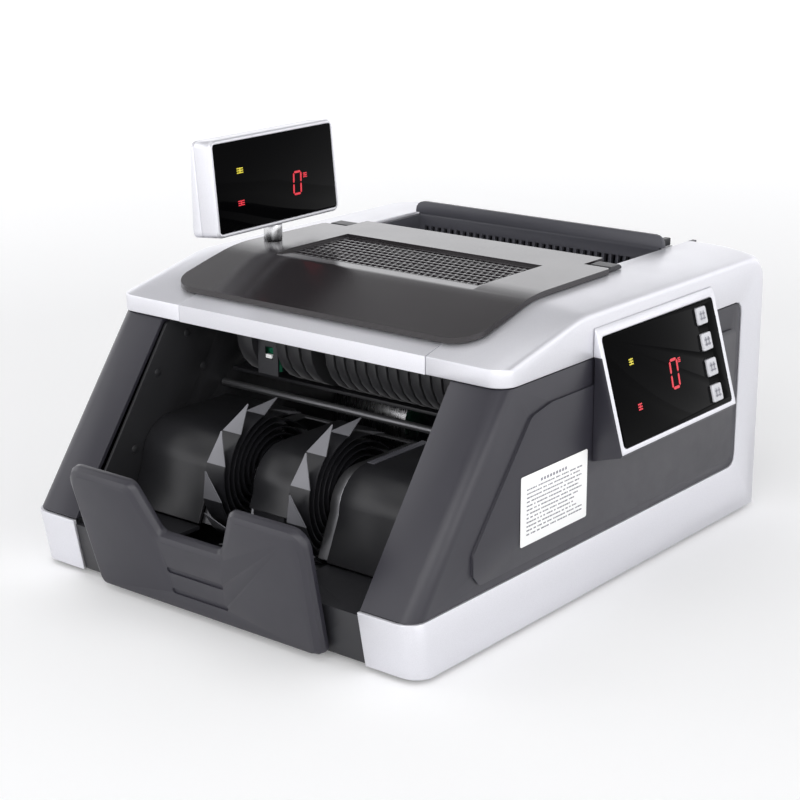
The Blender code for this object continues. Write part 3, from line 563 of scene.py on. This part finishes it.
# ---------------------------------------------------------------- lid plate and its vents

LID_TOP = drawn(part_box("top_lid")[1]).z
LID_T = 3.0
LID_FRONT = drawn(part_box("top_lid")[0]).y
LID_REAR = drawn(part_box("top_lid")[1]).y
LID_W = drawn(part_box("top_lid")[1]).x
LID_FRONT_TOP = 147.4
SLOPE_Y = 132.0             # where the sloping top becomes level
BEND = 13.0                 # how far the bend between them reaches to each side
HINGE_Y = 208.0             # the plate is narrower behind this, beside its hinge
TAIL_W = 85.8
RECESS = 1.5
RECESS_X = 70.0
RECESS_REAR = 191.0
VENT_X = 66.0
VENT_Y = (137.0, 188.0)
VENT_DEPTH = 1.1
VENT_ROWS = 9
VENT_COLUMNS = 31
VENT_BAR = 0.55             # half the width of a bar that runs across the vents
VENT_RIB = 0.4              # half the width of a rib between two bars
BED_X = VENT_X + 0.6        # the vents' bed reaches a little past the outermost bars
BED_Y = (VENT_Y[0] - 1, VENT_Y[1] + 0.6)


def lid_height(y):
    """The height of the plate's upper face, with a soft bend between slope and level."""
    slope = (LID_TOP - LID_FRONT_TOP) / (SLOPE_Y - LID_FRONT)
    before = SLOPE_Y - BEND
    if y >= SLOPE_Y + BEND:
        return LID_TOP
    if y <= before:
        return LID_TOP - slope * (SLOPE_Y - y)
    rest = SLOPE_Y + BEND - y
    return LID_TOP - slope * rest ** 2 / (4 * BEND)


def recess_front():
    """Where the recess's level floor meets the plate's falling upper face."""
    y = SLOPE_Y + BEND
    while lid_height(y) > LID_TOP - RECESS:
        y -= 0.05
    return y


def lid_outline():
    """The plate from above: round front corners and a narrower tail between the hinges."""
    side = arc((LID_W - 17, LID_FRONT + 17), 17, -90, -8, 9)
    side += [(LID_W, 110), (LID_W - 1, 150), (LID_W - 2, HINGE_Y - 2), (LID_W - 3.5, HINGE_Y),
             (TAIL_W, HINGE_Y), (TAIL_W, LID_REAR - 1), (TAIL_W - 1, LID_REAR)]
    return side + [(-x, y) for x, y in side[::-1]]


def split_across(bm, axis, places):
    """Cuts every face of a flat mesh along lines at these places."""
    for place in places:
        point, normal = Vector(), Vector()
        point[axis] = place
        normal[axis] = 1
        geometry = bm.verts[:] + bm.edges[:] + bm.faces[:]
        bmesh.ops.bisect_plane(bm, geom=geometry, plane_co=point, plane_no=normal)


def sunk(bm, faces, floor):
    """Pushes a region of faces down to a level floor, with upright walls round it."""
    result = bmesh.ops.extrude_face_region(bm, geom=faces)
    bmesh.ops.delete(bm, geom=faces, context="FACES_ONLY")
    for item in result["geom"]:
        if isinstance(item, bmesh.types.BMVert):
            item.co.z = min(item.co.z, floor)


def inside(face, half, low, high):
    middle = face.calc_center_median()
    return abs(middle.x) < half and low < middle.y < high and face.normal.z > 0.5


def make_lid_plate():
    front = recess_front()
    bm = bmesh.new()
    bm.faces.new([bm.verts.new((x, y, 0)) for x, y in lid_outline()])
    bends = [SLOPE_Y - BEND + BEND * k / 4 for k in range(9)]
    split_across(bm, 1, bends + [100, front, *BED_Y, RECESS_REAR])
    split_across(bm, 0, (-RECESS_X, -BED_X, BED_X, RECESS_X))
    top = bm.faces[:]
    under = bmesh.ops.duplicate(bm, geom=top)["geom"]
    under_faces = [item for item in under if isinstance(item, bmesh.types.BMFace)]
    under_verts = {vert for face in under_faces for vert in face.verts}
    for vert in bm.verts:
        drop = LID_T if vert in under_verts else 0.0
        vert.co.z = lid_height(vert.co.y) - drop
    bmesh.ops.reverse_faces(bm, faces=under_faces)
    bmesh.ops.bridge_loops(bm, edges=[edge for edge in bm.edges if edge.is_boundary])
    bm.normal_update()
    recess = [face for face in bm.faces if inside(face, RECESS_X, front, RECESS_REAR)]
    sunk(bm, [face for face in recess if face not in under_faces], LID_TOP - RECESS)
    bm.normal_update()
    vents = [face for face in bm.faces
             if inside(face, BED_X, *BED_Y)
             and face.calc_center_median().z > LID_TOP - RECESS - 0.1]
    sunk(bm, vents, LID_TOP - RECESS - VENT_DEPTH)
    for face in bm.faces:
        upper = face.calc_center_median().z > LID_TOP - LID_T + 0.2
        if upper and inside(face, VENT_X, *VENT_Y):
            face.material_index = 1
    plate = finished("lid_plate", bm, ("lid", "shade"), "lid", 0.45)
    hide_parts("top_lid")


def make_grille():
    """Fine staggered slots in the recess of the lid."""
    bm = bmesh.new()
    top = LID_TOP - RECESS
    low = top - VENT_DEPTH
    row_pitch = (VENT_Y[1] - VENT_Y[0]) / VENT_ROWS
    pitch = 2 * VENT_X / VENT_COLUMNS
    crest = VENT_BAR * 0.7
    for row in range(VENT_ROWS + 1):
        y = VENT_Y[0] + row * row_pitch
        add_prism(bm, "x", -VENT_X, VENT_X, [(y - VENT_BAR, low), (y + VENT_BAR, low),
                                             (y + crest, top), (y - crest, top)])
    for row in range(VENT_ROWS):
        y = VENT_Y[0] + row * row_pitch
        shift = pitch / 2 if row % 2 else 0.0
        for column in range(VENT_COLUMNS):
            x = -VENT_X + 0.5 + shift + column * pitch
            add_box(bm, x - VENT_RIB, x + VENT_RIB, y + 0.4, y + row_pitch - 0.4, low, top - 0.3)
    finished("vent_grille", bm, "lid", "lid", angle=30)


def make_hinge_covers():
    """Dark blocks over the notches where the lid's pins are."""
    for name, side in (("left", -1), ("right", 1)):
        low, high = sorted((side * 87.4, side * 101.0))
        bm = bmesh.new()
        add_prism(bm, "x", low, high, [(210, 157.9), (223, 157.9), (223, 159.4), (221, 160.6),
                                       (212, 160.6), (210, 159.4)])
        finished(f"hinge_cover_{name}", bm, "black", "machine", 0.4)


# ---------------------------------------------------------------- displays

def along(normal, up_hint, centre):
    """Axes on a display's face: X out of the face, Z up along it, centre in metres."""
    out = Vector(normal).normalized()
    across = Vector(up_hint).cross(out).normalized()
    upward = out.cross(across)
    turn = Matrix((out, across, upward)).transposed().to_4x4()
    return Matrix.Translation(centre) @ turn @ Matrix.Scale(MM, 4)


def display_place():
    normal = -Vector(JOINTS["key_1_press"]["axis"])
    low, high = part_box("display_window")
    return along(normal, (0, 0, 1), (low + high) / 2 + normal.normalized() * 0.7 * MM)


REMOTE_TILT = math.radians(5.2)
REMOTE_YAW = math.radians(2.0)


def remote_place():
    turn = Matrix.Rotation(REMOTE_YAW, 4, "Z") @ Matrix.Rotation(-REMOTE_TILT, 4, "Y")
    low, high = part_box("remote_display_window")
    normal = turn @ Vector((1, 0, 0))
    centre = (low + high) / 2 + normal * 0.45 * MM
    return Matrix.Translation(centre) @ turn @ Matrix.Scale(MM, 4)


DISPLAY = display_place()
REMOTE = remote_place()
SEGMENTS = {"top": ((0, 1), (1, 1)), "upper_right": ((1, 1), (1, 0.5)),
            "lower_right": ((1, 0.5), (1, 0)), "bottom": ((1, 0), (0, 0)),
            "lower_left": ((0, 0), (0, 0.5)), "upper_left": ((0, 0.5), (0, 1))}


def add_segment(bm, start, end, width, low, high):
    """A lit bar with pointed ends on the face, from start to end."""
    start, end = Vector(start), Vector(end)
    ahead = (end - start).normalized()
    side = Vector((-ahead.y, ahead.x)) * width / 2
    a, b = start + ahead * width * 0.25, end - ahead * width * 0.25
    shoulder = ahead * width * 0.5
    outline = [a, a + shoulder + side, b - shoulder + side, b, b - shoulder - side,
               a + shoulder - side]
    add_prism(bm, "x", low, high, outline)


def add_zero(bm, y, z, wide, tall, face):
    """A seven-segment 0, leaning a little, with its lower left corner at (y, z)."""
    slant = 0.10
    for (u0, v0), (u1, v1) in SEGMENTS.values():
        start = (y + u0 * wide + v0 * tall * slant, z + v0 * tall)
        end = (y + u1 * wide + v1 * tall * slant, z + v1 * tall)
        add_segment(bm, start, end, tall * 0.10, face, face + 0.12)


def add_mark(bm, y, z, wide, tall, face):
    """A small lit mark of three bars, in place of a word."""
    for k in range(3):
        low = z + k * tall / 2.6
        add_prism(bm, "x", face, face + 0.12, rectangle(y, low, y + wide, low + tall * 0.2))
    add_prism(bm, "x", face, face + 0.12,
              rectangle(y + wide * 0.42, z, y + wide * 0.58, z + tall))


def make_digits():
    """The lit signs on both windows, each placed from the middle of its window."""
    face = 0.03
    bm = bmesh.new()
    add_zero(bm, -0.6, -10.2, 7.0, 15.0, face)
    add_mark(bm, 9.0, 2.2, 2.6, 2.6, face)
    add_mark(bm, -36.5, -13.8, 3.8, 3.6, face)
    finished("display_red_signs", bm, "red", "machine", place=DISPLAY)
    bm = bmesh.new()
    add_mark(bm, -36.5, 10.5, 3.8, 3.4, face)
    finished("display_yellow_sign", bm, "yellow", "machine", place=DISPLAY)
    bm = bmesh.new()
    add_zero(bm, 13.6, -12.0, 6.4, 12.6, face)
    add_mark(bm, 23.0, -3.4, 3.4, 2.8, face)
    add_mark(bm, -34.6, -11.4, 5.2, 3.0, face)
    finished("remote_red_signs", bm, "red", "remote_display", place=REMOTE)
    bm = bmesh.new()
    add_mark(bm, -33.4, 6.6, 5.2, 3.2, face)
    finished("remote_yellow_sign", bm, "yellow", "remote_display", place=REMOTE)


def make_key_marks():
    """Two short bars on each key, in place of its word."""
    for k in range(4):
        low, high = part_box(f"key_{k + 1}")
        centre = (DISPLAY.inverted() @ ((low + high) / 2))
        bm = bmesh.new()
        face = 1.42
        for u in (-3.0, 0.0):
            add_prism(bm, "x", face, face + 0.05,
                      rectangle(centre.y + u, centre.z + 0.6, centre.y + u + 2.4, centre.z + 1.6))
            add_prism(bm, "x", face, face + 0.05,
                      rectangle(centre.y + u + 0.9, centre.z - 2.4, centre.y + u + 1.6,
                                centre.z + 2.6))
        add_prism(bm, "x", face, face + 0.05,
                  rectangle(centre.y - 3.0, centre.z - 2.0, centre.y + 2.6, centre.z - 1.2))
        finished(f"key_mark_{k + 1}", bm, "ink", f"key_{'abcd'[k]}", place=DISPLAY)


def make_fairing():
    """The display's housing: silver above the top band and on its front; the faces below the band
    are graphite, painted shade and a painted reflection of the dark side panel on the silver
    housing.
    """
    bm = copied("display_housing")
    plane = Vector((0, 0, LIP_Z + 0.4))
    geometry = bm.verts[:] + bm.edges[:] + bm.faces[:]
    bmesh.ops.bisect_plane(bm, geom=geometry, plane_co=plane, plane_no=(0, 0, 1))
    out = (DISPLAY.to_3x3() @ Vector((1, 0, 0))).normalized()
    bm.normal_update()
    for face in bm.faces:
        front = face.normal.dot(out) > 0.9
        top = face.calc_center_median().z > plane.z
        # Faces below the band that don't face out take graphite: painted shade and reflection on
        # the silver.
        face.material_index = 0 if front or top else 1
    housing = finished("display_fairing", bm, ("silver", "graphite"), "machine", 0.5)
    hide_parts("display_housing")


# ---------------------------------------------------------------- label

def make_label_print():
    """Rows of grey dashes in place of the sticker's lettering."""
    low, high = (drawn(corner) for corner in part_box("label"))
    spread = random.Random(4)
    bm = bmesh.new()
    face = high.x
    rows = 13
    for row in range(rows):
        z = high.z - 6.0 - row * (high.z - low.z - 9.0) / rows
        y = low.y + (5.0 if row else 17.0)
        end = high.y - (4.0 if row else 17.0) - spread.uniform(0, 9)
        tall = 0.75 if row else 1.5
        while y < end:
            length = spread.uniform(0.7, 2.6) if row else 1.7
            add_prism(bm, "x", face, face + 0.02, rectangle(y, z, min(y + length, end), z + tall))
            y += length + (spread.choice((0.35, 0.35, 1.4)) if row else 1.0)
    finished("label_print", bm, "ink", "machine")


# ---------------------------------------------------------------- inside the front opening

SLOT_EDGE_X = {"left": -15.2, "middle": 15.2, "right": 44.6}
SLOT_EDGE_R = 20.6
SLOT_EDGE_T = 0.7           # half its thickness
SLOT_EDGE_W = 2.4


def make_slot_edges():
    """Bright curved edges of the slots beside the wheels."""
    centre = (WHEEL_AXIS[0], 52.0)
    path = arc(centre, SLOT_EDGE_R, 120, 180, 10) + [(45.2, 40.0), (44.0, 33.0)]
    inner = [(y + SLOT_EDGE_W, z) for y, z in path]
    for name, x in SLOT_EDGE_X.items():
        bm = bmesh.new()
        add_prism(bm, "x", x - SLOT_EDGE_T, x + SLOT_EDGE_T, path + inner[::-1])
        finished(f"slot_edge_{name}", bm, "silver", "machine", 0.2)


def make_fender_ridges():
    """Cross ridges that grip a note, along the edge of the right fender."""
    top = drawn(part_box("fender_right")[1]).z
    bm = bmesh.new()
    for k in range(26):
        y = 68.5 + k * 1.8
        add_prism(bm, "x", 46.6, 51.4, [(y - 0.55, top - 0.1), (y + 0.55, top - 0.1),
                                        (y + 0.2, top + 0.5), (y - 0.2, top + 0.5)])
    finished("fender_ridges", bm, "guide", "machine")


def make_sensor_parts():
    """A black shroud over the sensor board, open at its connector."""
    low, high = (drawn(corner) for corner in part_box("sensor_board"))
    front = low.y
    bm = bmesh.new()
    outer = rectangle(low.x - 1.5, low.z - 1.5, high.x + 1.5, high.z + 1.5)
    opening = rectangle(low.x + 4.0, low.z + 8.0, high.x - 2.0, low.z + 14.5)
    add_ring(bm, "y", front - 1.4, front - 0.4, outer, opening)
    finished("sensor_shroud", bm, "black", "machine", 0.3)
    bm = bmesh.new()
    add_prism(bm, "y", front - 1.9, front, rectangle(low.x + 5.0, low.z + 8.4, high.x - 2.6,
                                                     low.z + 10.6))
    finished("sensor_connector", bm, "label", "machine", 0.2)


def add_screw(bm, centre, radius, face, axis, outward):
    """A domed screw head."""
    depth = radius * 0.35 * outward
    add_turned(bm, centre, [(face, 0.0), (face, radius), (face + depth * 0.5, radius * 0.96),
                            (face + depth, radius * 0.6), (face + depth, 0.0)], axis, 20)


WALL_X = 99.0               # inner faces of the chassis plates
WALL_SCREWS = ((84, 118), (60, 100), (40, 60), (96, 96))


def make_screws():
    """Screws in the side walls and in the rear cover."""
    for name, side in (("left", -1), ("right", 1)):
        bm = bmesh.new()
        for place in WALL_SCREWS:
            add_screw(bm, place, 2.4, side * WALL_X, "x", -side)
        finished(f"wall_screws_{name}", bm, "steel" if side > 0 else "chassis", "machine")
    bm = bmesh.new()
    for x in (-92, 92):
        for z in (8, 126):
            add_screw(bm, (x, z), 2.6, DEPTH, "y", 1)
    finished("rear_screws", bm, "steel", "machine")


def make_drum_details():
    """Bright collars on the shaft between the drums."""
    axis = drawn(JOINTS["transport_spin"]["pos_m"]).yz
    bm = bmesh.new()
    for x in (-52, -46):
        add_turned(bm, axis, [(x, 9.2), (x + 3, 9.2), (x + 3, 15.5), (x + 2.4, 16.2),
                              (x + 0.6, 16.2), (x, 15.5)])
    finished("drum_collars", bm, "steel", "transport")


def make_guide_clip():
    """A small clip behind the right end of the hopper's guide."""
    guide = drawn(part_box("hopper")[1])
    bm = bmesh.new()
    add_box(bm, guide.x - 9, guide.x - 5, guide.y - 30, guide.y - 22, 156.2, 160.5)
    finished("guide_clip", bm, "black", "machine", 0.4)


# ---------------------------------------------------------------- stage, camera and light

def floor_material():
    """A pale floor that glows more strongly further from its middle: painted light, standing in
    for the studio's light on the far floor.
    """
    n = Nodes("studio_floor")
    reach = n.add("ShaderNodeVectorMath")
    reach.operation = "LENGTH"
    n.link(n.place, reach.inputs[0])
    # Painted light: the emission grows with the distance from the floor's middle.
    lit = n.ranged(reach.outputs["Value"], 0.12, 0.75, 0.6, 2.6)
    n.drive(Base_Color=n.mixed(n.noise(300, 2), (0.90, 0.90, 0.905), (0.92, 0.92, 0.92)),
            Normal=n.bump(n.noise(3, 2), 0.02, 0.1), Emission_Strength=lit)
    n.set(Roughness=0.9, Emission_Color=(1, 1, 1, 1))
    return n.mat


def make_floor():
    half = 30.0
    bm = bmesh.new()
    corners = ((-half, -half), (half, -half), (half, half), (-half, half))
    bm.faces.new([bm.verts.new((x, y, 0)) for x, y in corners])
    mesh = bpy.data.meshes.new("floor")
    bm.to_mesh(mesh)
    bm.free()
    floor = bpy.data.objects.new("floor", mesh)
    bpy.context.scene.collection.objects.link(floor)
    mesh.materials.append(floor_material())


CAMERA_PLACE = (0.62795, -0.78770, 0.38920)
CAMERA_TURN = (38.944, 16.816, -0.286)     # degrees: azimuth, downward pitch, roll


def make_camera():
    azimuth, pitch, roll = (math.radians(angle) for angle in CAMERA_TURN)
    forward = Vector((-math.sin(azimuth) * math.cos(pitch), math.cos(azimuth) * math.cos(pitch),
                      -math.sin(pitch)))
    right = Vector((math.cos(azimuth), math.sin(azimuth), 0))
    up = right.cross(forward)
    across = right * math.cos(roll) + up * math.sin(roll)
    upward = up * math.cos(roll) - right * math.sin(roll)
    turn = Matrix((across, upward, -forward)).transposed()
    camera = bpy.data.cameras.new("camera")
    camera.lens = 84.0
    camera.sensor_width = 36.0
    camera.clip_start = 0.05
    camera.clip_end = 200.0
    obj = bpy.data.objects.new("camera", camera)
    obj.matrix_world = Matrix.Translation(CAMERA_PLACE) @ turn.to_4x4()
    bpy.context.scene.collection.objects.link(obj)
    bpy.context.scene.camera = obj


def area_light(name, place, target, size, power):
    light = bpy.data.lights.new(name, "AREA")
    light.shape = "RECTANGLE"
    light.size, light.size_y = size
    light.energy = power
    obj = bpy.data.objects.new(name, light)
    direction = Vector(target) - Vector(place)
    obj.matrix_world = (Matrix.Translation(place)
                        @ direction.to_track_quat("-Z", "Y").to_matrix().to_4x4())
    obj.visible_camera = False
    bpy.context.scene.collection.objects.link(obj)


WORLD_STRENGTH = 1.7
# The studio's shade at each sine of the elevation
WORLD_SHADES = {0.0: 1.0, 0.34: 1.0, 0.50: 0.30, 0.62: 0.12, 1.0: 0.10}


def make_world():
    """A studio whose walls are bright near the floor and dark above."""
    world = bpy.data.worlds.new("studio")
    world.use_nodes = True
    tree = world.node_tree
    background = tree.nodes["Background"]
    place = tree.nodes.new("ShaderNodeTexCoord")
    split = tree.nodes.new("ShaderNodeSeparateXYZ")
    tree.links.new(place.outputs["Generated"], split.inputs["Vector"])
    ramp = tree.nodes.new("ShaderNodeValToRGB")
    shades = ramp.color_ramp.elements
    shades.remove(shades[1])
    for position in list(WORLD_SHADES)[1:]:
        shades.new(position)
    for element, (position, shade) in zip(shades, WORLD_SHADES.items()):
        element.position = position
        element.color = (shade * 0.98, shade * 0.98, shade, 1)
    tree.links.new(split.outputs["Z"], ramp.inputs["Fac"])
    tree.links.new(ramp.outputs["Color"], background.inputs["Color"])
    background.inputs["Strength"].default_value = WORLD_STRENGTH
    bpy.context.scene.world = world


def make_lights():
    make_world()
    area_light("front", (0.7, -2.1, 1.3), (0, 0, 0.05), (2.2, 1.2), 20)
    area_light("overhead", (0.0, -0.2, 2.2), (0, 0, 0), (2.6, 2.6), 16)
    area_light("left", (-1.9, -1.0, 1.3), (0, 0, 0.1), (1.0, 1.2), 4)
    area_light("right", (2.3, -0.5, 0.9), (0, 0, 0.08), (1.4, 1.2), 9)


def main():
    dress_nodes()
    make_wheels()
    make_lid_plate()
    make_grille()
    make_hinge_covers()
    make_fairing()
    make_digits()
    make_key_marks()
    make_label_print()
    make_slot_edges()
    make_fender_ridges()
    make_sensor_parts()
    make_screws()
    make_drum_details()
    make_guide_clip()
    make_floor()
    make_camera()
    make_lights()
    bpy.context.scene.view_settings.view_transform = "Standard"


main()
